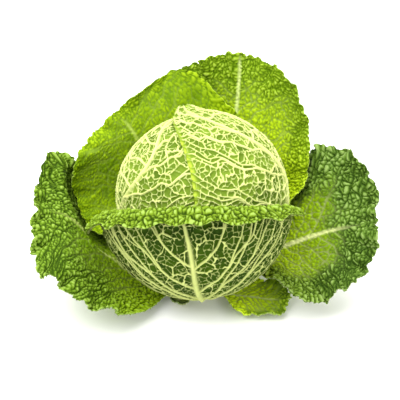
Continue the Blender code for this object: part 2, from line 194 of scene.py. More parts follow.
# midrib: points from the stem to the tip. halfWidth and shoulder: left and right of the midrib.
# roll and cup: degrees at the stem and at the tip. ruffle and lobes: size, number and start of the waves.
# frill: how far the fine waves of the margin reach. outsideOf: the leaves that lie inside this one.
# Their relief's values are told apart further down, where reliefOf uses them.
outerLeaves = {
    "outer_leaf_back_left": {
        "azimuth": 118,
        "midrib": [(-0.0085, 0.0095, 0.0155), (-0.0200, 0.0480, 0.0280),
                   (-0.0395, 0.0750, 0.0670), (-0.0615, 0.0855, 0.1175), (-0.0815, 0.0965, 0.1385)],
        "halfWidth": (0.087, 0.099), "shoulder": (0.38, 0.58), "squareness": 0.16, "roll": (0, -16),
        "cup": (36, 32), "ruffle": (0.0032, 6, 3.0), "lobes": (0.024, 6, -2.6), "frill": 0.0022,
        "outsideOf": ["head"], "slot": "lime_leaf", "finish": "lime",
        "relief": {"cells": (0.0090, 0.0034), "puffs": (0.0004, 0.0011), "marginPuffs": (0.0003, 0.0015),
                   "marginFrom": 0.70, "notch": 0.3, "spacing": 0.00118, "ribFade": (0.80, 0.15)},
    },
    "outer_leaf_back_right": {
        "azimuth": 70,
        "midrib": [(0.0072, 0.0145, 0.0115), (0.0155, 0.0560, 0.0185),
                   (0.0285, 0.0970, 0.0650), (0.0355, 0.1180, 0.1310), (0.0380, 0.1315, 0.1820)],
        "halfWidth": (0.094, 0.090), "shoulder": (0.42, 0.46), "squareness": 0.02, "roll": (0, 2),
        "cup": (54, 28), "ruffle": (0.0045, 7, 0.4), "lobes": (0.012, 9, 0.9), "frill": 0.0026,
        "outsideOf": ["head", "outer_leaf_back_left"], "slot": "green_leaf", "finish": "tall",
        "relief": {"cells": (0.0095, 0.0038), "puffs": (0.0005, 0.0015), "marginPuffs": (0.0004, 0.0021),
                   "marginFrom": 0.48, "spacing": 0.00109, "ribFade": (0.96, 0.04)},
    },
    "outer_leaf_left": {
        "azimuth": 187,
        "midrib": [(-0.0205, -0.0055, 0.0075), (-0.0488, -0.0062, 0.0085),
                   (-0.0835, -0.0020, 0.0370), (-0.1188, -0.0060, 0.0800), (-0.1505, -0.0100, 0.0905)],
        "halfWidth": (0.087, 0.070), "shoulder": (0.36, 0.42), "squareness": 0.46, "roll": (0, -24),
        "cup": (7, 14), "ruffle": (0.0055, 8, 0.9), "lobes": (0.018, 11, -0.46), "frill": 0.0034,
        "outsideOf": ["head", "wrapper_leaf_front", "outer_leaf_back_left", "outer_leaf_back_right"],
        "slot": "green_leaf", "finish": "broad",
        "relief": {"cells": (0.0092, 0.0036), "puffs": (0.0004, 0.0015), "marginPuffs": (0.0004, 0.0024),
                   "marginFrom": 0.22},
    },
    "outer_leaf_right": {
        "azimuth": 3,
        "midrib": [(0.0220, -0.0030, 0.0075), (0.0530, 0.0090, 0.0280),
                   (0.0870, 0.0110, 0.0430), (0.1270, 0.0030, 0.0640), (0.1615, -0.0100, 0.0780)],
        "halfWidth": (0.088, 0.072), "shoulder": (0.49, 0.45), "squareness": 0.15, "roll": (0, 36),
        "cup": (20, 12), "ruffle": (0.0055, 8, 2.4), "lobes": (0.029, 10, 3.45), "frill": 0.0036,
        "outsideOf": ["head", "wrapper_leaf_front", "outer_leaf_back_right"],
        "slot": "green_leaf", "finish": "dark",
        "relief": {"cells": (0.0100, 0.0041), "puffs": (0.0006, 0.0015), "marginPuffs": (0.0006, 0.0029),
                   "marginFrom": 0.33},
    },
    "outer_leaf_front_right": {
        "azimuth": -32,
        "midrib": [(0.0180, -0.0125, 0.0038), (0.033, -0.019, 0.0050), (0.049, -0.024, 0.0060),
                   (0.066, -0.029, 0.0070), (0.082, -0.032, 0.0085)],
        "halfWidth": (0.028, 0.029), "shoulder": (0.35, 0.35), "squareness": 0.3, "roll": (0, 6),
        "cup": (10, 14), "ruffle": (0.0020, 6, 1.4), "lobes": (0.030, 7, 0.8), "frill": 0.0012,
        "outsideOf": [], "slot": "lime_leaf", "finish": "tall",
        "relief": {"cells": (0.0100, 0.0042), "puffs": (0.0004, 0.0011), "marginPuffs": (0.0004, 0.0016),
                   "marginFrom": 0.62, "spacing": 0.00090},
    },
    "outer_leaf_front": {
        "azimuth": -125,
        "midrib": [(-0.0118, -0.0182, 0.0036), (-0.0145, -0.0205, 0.0042), (-0.0175, -0.0235, 0.0044),
                   (-0.0205, -0.0265, 0.0046), (-0.0235, -0.0300, 0.0048)],
        "halfWidth": (0.010, 0.010), "shoulder": (0.40, 0.40), "squareness": 0.2, "roll": (0, 0),
        "cup": (10, 20), "ruffle": (0.0006, 5, 0.4), "lobes": (0.030, 5, 0.8), "frill": 0.0003,
        "outsideOf": [], "slot": "green_leaf", "finish": "dark",
        "relief": {"cells": (0.0070, 0.0036), "puffs": (0.0004, 0.0008), "marginPuffs": (0.0004, 0.0010),
                   "marginFrom": 0.55, "spacing": 0.00080},
    },
}
stalk = {
    "width": 0.11, "end": 0.04, "neck": 0.05,  # shares of the blade's width and of the midrib's length
    "roundness": 0.25,  # of the blade's lower end, next to 1 at its tip
    "plain": (1.1, 0.3),  # how soon the waves of the margin start beyond the stalk
}
edge = {
    "scallops": (12, 31), "frills": (17, 37),  # coarse and fine, in waves for a full turn round the blade
    "scallopPower": 0.6, "frilled": (0.70, 0.30), "fineFrill": 0.5,
}
nesting = {
    "gap": 0.0058,  # between the middles of two leaves, where one lies on the other
    "slope": 0.055,  # how fast that gap closes per radian away from the inner leaf
    "spreadGap": 0.0048, "spread": (0.03, 0.04),  # what is added away from the stem, and over which stretch
    "ground": 0.0036, "softness": 0.0012,
}


# 1 + lobes + scallops round the blade: a sine times reach^6, and two |sine|^0.6 times reach^10
def bladeSpread(leaf, reach, turn, beyondStalk, frill):
    depth, count, start = leaf["lobes"]
    spread = 1 + depth * beyondStalk * reach**6 * np.sin(count * turn + start)
    if frill:
        coarse, fine = edge["scallops"]
        power = edge["scallopPower"]
        scallop = np.abs(np.sin(coarse * turn + start)) ** power
        scallop = scallop + np.abs(np.sin(fine * turn + 2 * start)) ** power - power
        spread += frill / leaf["halfWidth"][0] * beyondStalk * reach**10 * scallop
    return spread


# an egg-shaped blade swept along the midrib: sideways = width*sin(cup x)/cup and
# lift = width*(1 - cos(cup x))/cup, plus the ruffle and the frill at the rim
def outerSurface(leaf, u, v, frill=0.0):
    rounding = (1 - leaf["squareness"]) / 2 * np.where(v > 0, 1, stalk["roundness"])
    x = u * np.sqrt(1 - rounding * v * v)
    y = v * np.sqrt(1 - rounding * u * u)
    reach = np.maximum(np.abs(u), np.abs(v))
    turn = np.arctan2(x, y)
    beyondStalk = smoothStep(stalk["plain"][0] * (y + 1) - stalk["plain"][1])
    spread = bladeSpread(leaf, reach, turn, beyondStalk, frill)
    t = (y * spread + 1) / 2
    x = x * spread
    middle, along = spline(leaf["midrib"], t)
    azimuth = math.radians(leaf["azimuth"])
    side = np.array((-math.sin(azimuth), math.cos(azimuth), 0.0))
    across = unit(side - (along @ side)[..., None] * along)
    inward = np.cross(along, across)
    roll = np.radians(leaf["roll"][0] + (leaf["roll"][1] - leaf["roll"][0]) * smoothStep(t))[..., None]
    across, inward = (across * np.cos(roll) + inward * np.sin(roll),
                      inward * np.cos(roll) - across * np.sin(roll))
    shoulder = np.where(x > 0, *leaf["shoulder"])
    share = stalk["width"] + (1 - stalk["width"]) * ease(t, (stalk["end"], shoulder + stalk["neck"]))
    width = np.where(x > 0, *leaf["halfWidth"]) * share
    cup = np.radians(leaf["cup"][0] + (leaf["cup"][1] - leaf["cup"][0]) * t)
    sideways = width * np.sin(cup * x) / cup
    height, waves, phase = leaf["ruffle"]
    lift = width * (1 - np.cos(cup * x)) / cup
    lift += height * beyondStalk * reach**4 * np.sin(waves * turn + phase)
    if frill:
        coarse, fine = edge["frills"]
        frills = np.sin(coarse * turn + 2 * phase + 3 * u) + edge["fineFrill"] * np.sin(fine * turn + phase)
        lift += frill * (ease(reach, edge["frilled"]) * beyondStalk) * frills
    return middle + across * sideways[..., None] + inward * lift[..., None]


# points move out from the head's centre until they clear the leaves inside them, and stay off the ground
def settle(points, others):
    ray = (points - head["centre"]).reshape(-1, 3)
    distance = np.linalg.norm(ray, axis=1)
    needed = np.zeros(len(ray))
    for other in others:
        otherRay = other.reshape(-1, 3) - head["centre"]
        turn = np.arccos(np.clip(unit(ray) @ unit(otherRay).T, -1, 1))
        clear = np.linalg.norm(otherRay, axis=1) + nesting["gap"] - nesting["slope"] * turn
        needed = np.maximum(needed, clear.max(axis=1))
    spread = np.hypot(points[..., 0], points[..., 1]).reshape(-1)
    needed += nesting["spreadGap"] * ease(spread, nesting["spread"]) * (needed > 0)
    softness, ground = nesting["softness"], nesting["ground"]
    pushed = distance + softness * np.logaddexp(0, (needed - distance) / softness)
    moved = head["centre"] + unit(ray) * pushed[:, None]
    moved[:, 2] = ground + softness * np.logaddexp(0, (moved[:, 2] - ground) / softness)
    return moved.reshape(points.shape)


# Catmull-Rom weights that carry values on count even samples of -1..1 to the places
def carryWeights(count, places):
    place = (np.asarray(places) + 1) / 2 * (count - 1)
    k = np.clip(np.floor(place).astype(int), 0, count - 2)
    f = place - k
    shares = (-0.5 * f + f**2 - 0.5 * f**3, 1 - 2.5 * f**2 + 1.5 * f**3,
              0.5 * f + 2 * f**2 - 1.5 * f**3, -0.5 * f**2 + 0.5 * f**3)
    weights = np.zeros((len(place), count))
    for shift, share in zip((-1, 0, 1, 2), shares):
        np.add.at(weights, (np.arange(len(place)), np.clip(k + shift, 0, count - 1)), share)
    return weights


# The net of veins. Side veins cut the leaf into sectors, a first net cuts the sectors into cells,
# and a second net cuts those, so that each small vein ends on a larger one.

net = {
    "warps": ((0.0010, 0.011), (0.0004, 0.004)),  # size and wavelength of what makes the cells uneven
    "swing": 0.010, "wander": 0.020,  # how far a vein strays in u or v, and over which length
    "startJitter": 0.03, "leftShift": 0.07, "riseRange": (0.85, 1.15), "waveRange": (17, 26),
    "forkJitter": 0.12, "branchRange": (0.8, 1.2), "branchShare": 0.8,
    "taper": (1.15, 0.65),  # a side vein's width at the midrib, and what it loses on its way to the margin
    "flatten": 0.45, "leastRib": 0.0005,  # what its height loses, and the midrib's height at the tip
    "leftSectors": 100,  # the left sectors are numbered from here
    # the two twigs after the branch: how much later they leave, how they climb, and their share of the width
    "twigs": ((0.15, -0.6, 0.7), (0.28, 0.9, 0.6)),
    "seedJitter": 0.36, "stagger": 0.25,  # as shares of a cell
    "corner": 0.035, "meeting": 0.03,  # how rounded the cells' corners are, and where two nets meet
}


# samples of u and v, evenly spaced on the surface inside the focus, and sparser times as far apart outside it
def samples(surface, spacing, focus):
    rows, columns, blend, wide = 241, 61, 0.2, 0.8
    fine = np.linspace(-1, 1, rows)
    v, u = np.meshgrid(fine, np.linspace(-1, 1, columns), indexing="ij")
    flat = surface(u, v)
    along = np.linalg.norm(np.diff(flat, axis=0), axis=-1).mean(axis=1)
    across = np.quantile(np.linalg.norm(np.diff(flat, axis=1), axis=-1).sum(axis=1), wide)
    found = []
    for lengths, span in ((np.full(len(along), across / len(along)), focus["u"]), (along, focus["v"])):
        middles = (fine[1:] + fine[:-1]) / 2
        inside = smoothStep((middles - span[0]) / blend + 1) * smoothStep((span[1] - middles) / blend + 1)
        steps = np.cumsum(lengths / spacing * (inside + (1 - inside) / focus["sparser"]))
        places = np.linspace(0, steps[-1], round(steps[-1]) + 1)
        found.append(np.interp(places, np.concatenate(([0], steps)), fine))
    return found


# a sum of eight sine waves of about the given wavelength, between about -1 and 1
def drift(points, wavelength):
    ways = unit(chance.normal(size=(8, 3))) * (2 * math.pi / wavelength) * chance.uniform(0.6, 1.5, (8, 1))
    return np.sin(points @ ways.T + chance.uniform(0, 2 * math.pi, 8)).sum(axis=-1) / 3


def swirl(points, wavelength):
    return np.stack([drift(points, wavelength) for _ in range(3)], axis=-1)


class Sheet:
    # a leaf's middle surface on a grid, with what is needed to measure along it
    def __init__(self, u, v, points, grain):
        self.u, self.v, self.points, self.grain = u, v, points, grain
        self.gridV, self.gridU = np.meshgrid(v, u, indexing="ij")
        self.share = (self.gridV + 1) / 2  # of the way from the stem to the tip
        self.reach = np.maximum(np.abs(self.gridU), np.abs(self.gridV))  # 1 at the rim
        self.normals = innerNormals(points)
        alongU, alongV = np.gradient(points, u, axis=1), np.gradient(points, v, axis=0)
        self.uu, self.vv, self.uv = ((a * b).sum(axis=-1) for a, b in
                                     ((alongU, alongU), (alongV, alongV), (alongU, alongV)))
        self.area = np.maximum(self.uu * self.vv - self.uv**2, 1e-16)
        middle = points[:, len(u) // 2]
        self.length = np.concatenate(([0], np.cumsum(np.linalg.norm(np.diff(middle, axis=0), axis=-1))))
        self.width = np.linalg.norm(np.diff(points, axis=1), axis=-1).sum(axis=1)
        self.warped = points
        for size, wavelength in net["warps"]:
            self.warped = self.warped + size * swirl(points, wavelength)

    # value / |gradient of value| on the surface: the distance to where the value is nought
    def distanceTo(self, value):
        du, dv = np.gradient(value, self.u, axis=1), np.gradient(value, self.v, axis=0)
        slope = (self.vv * du**2 - 2 * self.uv * du * dv + self.uu * dv**2) / self.area
        return np.abs(value) / np.sqrt(np.maximum(slope, 1e-12))


# Side veins leave the midrib at "starts" and climb by "rise" to the margin, and fork at "fork" of the way.
# Each line is v = start + rise*q^bow + a zigzag wave, where q runs from 0 at the midrib to 1 at the margin.
# A vein that reaches the tip before the margin does so at q = ((1 - start)/rise)^(1/bow), here called most.
# A branch or a twig is its vein's line + climb*(q - begin) from q = begin on.
def mainVeins(sheet, veins):
    amount, bendFrom, bendTo = veins["midBend"]
    middle = veins["mid"] + amount * smoothStep((sheet.gridV - bendFrom) / (bendTo - bendFrom))
    middle = middle + net["swing"] * np.sin(5 * sheet.gridV + 1)
    off = sheet.gridU - middle
    baseWidth, tipWidth = veins["midWidth"]
    widths = [baseWidth + (tipWidth - baseWidth) * sheet.share**0.7]
    distances = [sheet.distanceTo(off)]
    heights = [veins["midHeight"] * (1 - sheet.share) ** 0.8 + net["leastRib"]]
    sector = np.where(off > 0, 0, net["leftSectors"])
    wander = net["swing"] * drift(sheet.points, net["wander"])
    q = np.clip(np.where(off > 0, off / (1 - middle), -off / (1 + middle)), 0, 1)
    jitter = net["startJitter"]
    fullWidth, lostWidth = net["taper"]
    for side in (1, -1):
        onSide = (off > 0) if side > 0 else (off <= 0)
        for start in veins["starts"]:
            start = start + (net["leftShift"] if side < 0 else 0.0) + chance.uniform(-jitter, jitter)
            rise = np.interp(start, (-1, 1), veins["rise"]) * chance.uniform(*net["riseRange"])
            turning = chance.uniform(*net["waveRange"]) * q + chance.uniform(0, 6)
            zigzag = (np.sin(turning) - np.sin(3 * turning) / 9) * np.minimum(1, 5 * q)
            line = start + rise * q ** veins["bow"] + veins["wave"] * zigzag
            most = min(1.0, ((1 - start) / rise) ** (1 / veins["bow"]))
            fork = most * (veins["fork"] + chance.uniform(-net["forkJitter"], net["forkJitter"]))
            climb = rise * veins["forkRise"]
            paths = [(line, 0, 1.0)]
            for later, climbShare, width in ((0, chance.uniform(*net["branchRange"]), net["branchShare"]),
                                             *net["twigs"]):
                begin = fork + later * most
                paths.append((line + climbShare * climb * np.maximum(0, q - begin), begin, width))
            for path, begin, width in paths:
                value = sheet.gridV - (path + wander)
                distances.append(np.where(onSide & (q > begin), sheet.distanceTo(value), 1.0))
                outward = np.minimum(q / most, 1)
                widths.append(veins["sideWidth"] * width * (fullWidth - lostWidth * outward))
                heights.append(veins["sideHeight"] * width * (1 - net["flatten"] * outward))
                sector = sector + np.where(onSide & (value > 0), 1, 0)
    return np.array(distances), np.array(widths), np.array(heights), sector


# Uneven cells round scattered seeds. The distance e to a border is (|p-b|^2 - |p-a|^2) / (2|a-b|) for the
# nearest seed a and another seed b of the same parent, and -log(sum of exp(-k e)) / k over all b rounds the
# cell's corners. The seeds lie in rows, so only the nearest 25 or so are tried for each point.
def cellNet(sheet, spacing, parent):
    points = sheet.warped
    sharpness = 1 / (net["corner"] * spacing)
    jitter, stagger = net["seedJitter"], net["stagger"]
    rows, columns = parent.shape
    size = spacing * sheet.grain
    level = np.concatenate(([0], np.cumsum(np.diff(sheet.length) / size[1:])))
    rowCount = max(1, round(level[-1]))
    level *= rowCount / level[-1]
    rowAt = np.searchsorted(level, np.arange(rowCount) + 0.5)
    counts = np.maximum(1, np.round(sheet.width[rowAt] / size[rowAt])).astype(int)
    first = np.concatenate(([0], np.cumsum(counts)))
    row = np.repeat(np.arange(rowCount), counts)
    spot = np.arange(first[-1]) - first[row] + 0.5 + np.where(row % 2, stagger, -stagger)
    spot = (spot + chance.uniform(-jitter, jitter, len(row))) / counts[row]
    height = row + 0.5 + chance.uniform(-jitter, jitter, len(row))
    j = np.clip(np.searchsorted(sheet.u, 2 * spot - 1), 0, columns - 1)
    i = np.clip(np.searchsorted(level, height), 0, rows - 1)
    seeds, family = points[i, j], parent[i, j]

    def candidates():
        low = np.floor(level).astype(int)
        for dr in range(-2, 3):
            r = low + dr
            inRows = (r >= 0) & (r < rowCount)
            r = np.clip(r, 0, rowCount - 1)
            base = np.floor((sheet.u[None, :] + 1) / 2 * counts[r][:, None]).astype(int)
            for dj in range(-2, 3):
                k = base + dj
                valid = inRows[:, None] & (k >= 0) & (k < counts[r][:, None])
                index = first[r][:, None] + np.clip(k, 0, counts[r][:, None] - 1)
                yield index, valid & (family[index] == parent)

    nearest = np.full(parent.shape, -1)
    best = np.full(parent.shape, 1.0)
    for index, valid in candidates():
        square = np.where(valid, ((points - seeds[index]) ** 2).sum(axis=-1), 1.0)
        closer = square < best
        best = np.where(closer, square, best)
        nearest = np.where(closer, index, nearest)
    near = np.full(parent.shape, math.exp(-spacing * sharpness))
    own = seeds[nearest]
    for index, valid in candidates():
        other = seeds[index]
        apart = np.linalg.norm(other - own, axis=-1)
        square = ((points - other) ** 2).sum(axis=-1)
        valid &= (index != nearest) & (nearest >= 0)
        away = np.maximum(square - best, 0) / np.maximum(2 * apart, 1e-6)
        near += np.where(valid, np.exp(-sharpness * away), 0)
    border = -np.log(near) / sharpness
    label = np.where(nearest >= 0, nearest + 1, -(parent + 1))
    tone = chance.uniform(-1, 1, len(seeds) + 1)[np.maximum(nearest, -1)]
    return border, label, tone


# What a leaf's relief is made from. cells, netWidths, netHeights, puffs and marginPuffs have a value for the
# large net and one for the small net. puffs and marginPuffs: the blisters' heights inside and on the margin.
# marginFrom and marginWidth: where the margin starts, in reach. lipFrom: the same for a lip, in v.
# mid and midBend: the midrib's place in u, and its (shift, from, to) in v. midWidth and rise: at the stem and
# at the tip. notch: how far the rim is drawn in between blisters. spacing: between samples. innerSteps: every
# so many rows and columns are kept on the inner face. smoothBack: 1 where the inner face stays smooth.
# rimCells: the v from which the cells are finer, and how fine. ribFade: (start, length) of the rib's fading.
plainRelief = {
    "netWidths": (0.0012, 0.0009), "netHeights": (0.0007, 0.0003), "blade": 0.0011, "innerSteps": (1, 1),
    "smoothBack": 0, "focus": {"u": (-1, 1), "v": (-1, 1), "sparser": 1}, "rimCells": (1, 1),
    "ribFade": (0.55, 0.4), "spacing": 0.00104, "marginWidth": 0.35, "notch": 0.4,
}
bubbles = {
    "radii": (0.42, 0.40),  # of the large and small ones, as shares of their cells
    "tones": (0.7, 0.5), "toneLift": 0.25,  # how each cell's own tone shows in its colour and its height
    "uneven": (0.3, 0.035), "waver": (0.2, 0.03),  # share and wavelength, for the large net and the margin
    "thinning": 0.35,  # how much finer the large net is at the rim
    "young": (0.02, 0.15), "youngRib": 0.35,  # where the blisters start by the stem, and the net there
    "lipRise": 0.14, "ribBand": 1.6,  # how soon the lip's relief is full; the midrib's colour, in its widths
}


# the smaller of two distances, rounded where they are alike
def softLeast(first, second, softness):
    return -softness * np.logaddexp(-first / softness, -second / softness)


# a rounded ridge: (1 - (d/w)^2)^2 up to the distance w
def ridge(distance, width):
    return np.clip(1 - (np.maximum(distance, 0) / width) ** 2, 0, 1) ** 2


# a puffed cell: 1 - (1 - d/r)^2, flat from the distance r on
def puff(distance, radius):
    return 1 - (1 - np.clip(distance / radius, 0, 1)) ** 2


# from 0 inside the leaf to 1 on its margin or lip
def marginOf(sheet, leaf):
    if "lipFrom" in leaf:
        return ease(sheet.gridV, (leaf["lipFrom"], bubbles["lipRise"]))
    share, wavelength = bubbles["waver"]
    waver = share * leaf["marginWidth"] * drift(sheet.points, wavelength)
    return ease(sheet.reach + waver, (leaf["marginFrom"], leaf["marginWidth"]))


# the two faces of a leaf with its relief, and what its material needs to know at each point
def reliefOf(sheet, leaf):
    distances, widths, heights, sector = mainVeins(sheet, leaf["veins"])
    large, small = leaf["cells"]
    share, wavelength = bubbles["uneven"]
    uneven = 1 + share * drift(sheet.points, wavelength)
    border1, label1, tone1 = cellNet(sheet, large, sector)
    border2, _, tone2 = cellNet(sheet, small, label1)
    border1 = softLeast(border1, distances.min(axis=0), net["meeting"] * large)
    border2 = softLeast(border2, border1, net["meeting"] * small)
    fine = 1 - bubbles["thinning"] * sheet.reach
    width1, width2 = leaf["netWidths"]
    height1, height2 = leaf["netHeights"]
    ribs = (ridge(distances, widths) * heights).max(axis=0)
    ribs = np.maximum(ribs, height1 * uneven * fine * ridge(border1, width1 * uneven * fine))
    ribs = np.maximum(ribs, height2 * ridge(border2, width2))
    margin = marginOf(sheet, leaf)
    young = ease(sheet.length / sheet.length[-1], bubbles["young"])[:, None]
    puffPairs = zip(leaf["puffs"], leaf["marginPuffs"])
    bulge1, bulge2 = (plain + (rim - plain) * margin for plain, rim in puffPairs)
    radius1, radius2 = bubbles["radii"]
    puff1, puff2 = puff(border1, radius1 * large), puff(border2, radius2 * small * sheet.grain[:, None])
    lift = bubbles["toneLift"]
    bulge = young * (bulge1 * puff1 + bulge2 * puff2 * (1 + lift * tone2))
    deepest = (bulge1 + (1 + lift) * bulge2) * young
    ribs = ribs * (bubbles["youngRib"] + (1 - bubbles["youngRib"]) * young)
    half = leaf["blade"] / 2
    hollow = bulge + leaf["smoothBack"] * (1 - margin) * (deepest - bulge)
    inner = sheet.points + sheet.normals * (half + hollow)[..., None]
    outer = sheet.points + sheet.normals * (bulge - half - ribs)[..., None]
    for face in (inner, outer):
        notch(face, puff2 * young, leaf["notch"])
    toneShare1, toneShare2 = bubbles["tones"]
    ribColour = ridge(distances[0], bubbles["ribBand"] * widths[0]) * (1 - ease(sheet.share, leaf["ribFade"]))
    facts = {"mainVein": np.minimum((distances / widths).min(axis=0), 4),  # in widths of the vein
             "largeNet": 1000 * border1 / (uneven * fine), "smallNet": 1000 * border2,  # in millimetres
             "margin": margin, "tone": toneShare1 * tone1 + toneShare2 * tone2, "along": sheet.share,
             "rib": ribColour}
    return inner, outer, facts


# the rim is drawn in where two blisters meet, so that the outline is bubbly too
def notch(face, puffed, share):
    strips = ((face[:, :4], puffed[:, 0]), (face[:, :-5:-1], puffed[:, -1]),
              (face[:-5:-1].swapaxes(0, 1), puffed[-1]))
    for strip, level in strips:
        strip[:, :3] += (strip[:, 3:4] - strip[:, :3]) * (share * (1 - level))[:, None, None]


# Meshes


# every step-th line, the last one, and all lines past fineFrom
def keptLines(values, step, fineFrom):
    lines = np.arange(len(values))
    return lines[(lines % step == 0) | (lines == len(values) - 1) | (values > fineFrom)]


# the grid's outer face, its inner face on the kept rows and columns, and the rim between them
def leafMesh(name, inner, outer, facts, kept):
    index = np.arange(outer[..., 0].size).reshape(outer.shape[:2])
    matching = index[kept]
    fewer = np.arange(matching.size).reshape(matching.shape) + index.size
    points = np.concatenate((outer.reshape(-1, 3), inner[kept].reshape(-1, 3)))

    def quads(grid):
        return np.stack((grid[:-1, :-1], grid[:-1, 1:], grid[1:, 1:], grid[1:, :-1]), axis=-1).reshape(-1, 4)

    def loop(grid):
        return np.concatenate((grid[0, :-1], grid[:-1, -1], grid[-1, :0:-1], grid[:0:-1, 0]))

    outerRim, innerRim = loop(index), loop(fewer)
    order = np.argsort(outerRim)
    posts = order[np.searchsorted(outerRim[order], loop(matching))]  # rim points that have an inner one
    held = innerRim[np.searchsorted(posts, np.arange(len(outerRim)), side="right") - 1]
    outerSide = np.stack((np.roll(outerRim, -1), outerRim, held), axis=-1)
    innerSide = np.stack((outerRim[np.roll(posts, -1)], innerRim, np.roll(innerRim, -1)), axis=-1)
    triangles = np.concatenate((outerSide, innerSide))
    quadFaces = np.concatenate((quads(index), quads(fewer)[:, ::-1]))
    corners = np.concatenate((quadFaces.reshape(-1), triangles.reshape(-1))).astype(np.int32)
    sizes = np.concatenate((np.full(len(quadFaces), 4), np.full(len(triangles), 3)))
    starts = np.concatenate(([0], np.cumsum(sizes)[:-1])).astype(np.int32)
    mesh = bpy.data.meshes.new(name)
    mesh.vertices.add(len(points))
    mesh.vertices.foreach_set("co", points.astype(np.float32).reshape(-1))
    mesh.loops.add(len(corners))
    mesh.loops.foreach_set("vertex_index", corners)
    mesh.polygons.add(len(sizes))
    mesh.polygons.foreach_set("loop_start", starts)
    mesh.update(calc_edges=True)
    mesh.shade_smooth()
    facts = dict(facts, under=np.ones(outer.shape[:2]))
    for key, values in facts.items():
        innerValues = np.zeros(outer.shape[:2]) if key == "under" else values
        both = np.concatenate((values.reshape(-1), innerValues[kept].reshape(-1)))
        mesh.attributes.new(key, "FLOAT", "POINT").data.foreach_set("value", both.astype(np.float32))
    return linked(name, mesh)


def linked(name, data):
    made = bpy.data.objects.new(name, data)
    bpy.context.scene.collection.objects.link(made)
    return made


def place(piece, node, slot, material):
    piece.data.materials.append(material)
    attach(piece, "root")
    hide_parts(node)
    print(piece.name, len(piece.data.polygons), "faces")


# Materials


class Wire:
    # a socket that can be added, multiplied and so on; each sign adds a Math node
    def __init__(self, board, socket):
        self.board, self.socket = board, socket

    def maths(self, operation, first, second):
        return self.board.node("ShaderNodeMath", {"operation": operation}, {0: first, 1: second}).wire()

    def __add__(self, other):
        return self.maths("ADD", self, other)

    def __radd__(self, other):
        return self.maths("ADD", other, self)

    def __sub__(self, other):
        return self.maths("SUBTRACT", self, other)

    def __rsub__(self, other):
        return self.maths("SUBTRACT", other, self)

    def __mul__(self, other):
        return self.maths("MULTIPLY", self, other)

    def __rmul__(self, other):
        return self.maths("MULTIPLY", other, self)

    def __pow__(self, other):
        return self.maths("POWER", self, other)

    def most(self, other):
        return self.maths("MAXIMUM", self, other)


class Made:
    # a node, whose outputs are read by name or number
    def __init__(self, board, node):
        self.board, self.node = board, node

    def wire(self, output=0):
        return Wire(self.board, self.node.outputs[output])


class Board:
    # a material's node tree
    def __init__(self, name):
        self.material = bpy.data.materials.new(name)
        self.material.use_nodes = True
        self.tree = self.material.node_tree
        self.shader = self.tree.nodes["Principled BSDF"]

    # settings come first, then the values or links of the sockets
    def node(self, kind, settings=None, inputs=None):
        made = self.tree.nodes.new(kind)
        for key, value in (settings or {}).items():
            setattr(made, key, value)
        self.feed(made, inputs or {})
        return Made(self, made)

    def feed(self, node, inputs):
        for key, value in inputs.items():
            if isinstance(value, Wire):
                self.tree.links.new(value.socket, node.inputs[key])
            elif isinstance(value, tuple) and len(value) == 3 and node.inputs[key].type == "RGBA":
                node.inputs[key].default_value = (*value, 1)
            else:
                node.inputs[key].default_value = value

    def place(self):
        return self.node("ShaderNodeTexCoord").wire("Object")

    def fact(self, name):
        return self.node("ShaderNodeAttribute", {"attribute_name": name}).wire("Fac")

    def mix(self, share, first, second):
        settings = {"data_type": "RGBA", "blend_type": "MIX", "clamp_factor": True}
        return self.node("ShaderNodeMix", settings, {0: share, 6: first, 7: second}).wire(2)

    def noise(self, place, scale, detail):
        inputs = {"Vector": place, "Scale": scale, "Detail": detail}
        return self.node("ShaderNodeTexNoise", {}, inputs).wire("Fac")

    def between(self, value, low, high):
        return self.node("ShaderNodeMapRange", {"interpolation_type": "SMOOTHSTEP"},
                         {"Value": value, "From Min": low, "From Max": high}).wire()

    def bump(self, strength, distance, height):
        inputs = {"Strength": strength, "Distance": distance, "Height": height}
        return self.node("ShaderNodeBump", {}, inputs).wire()


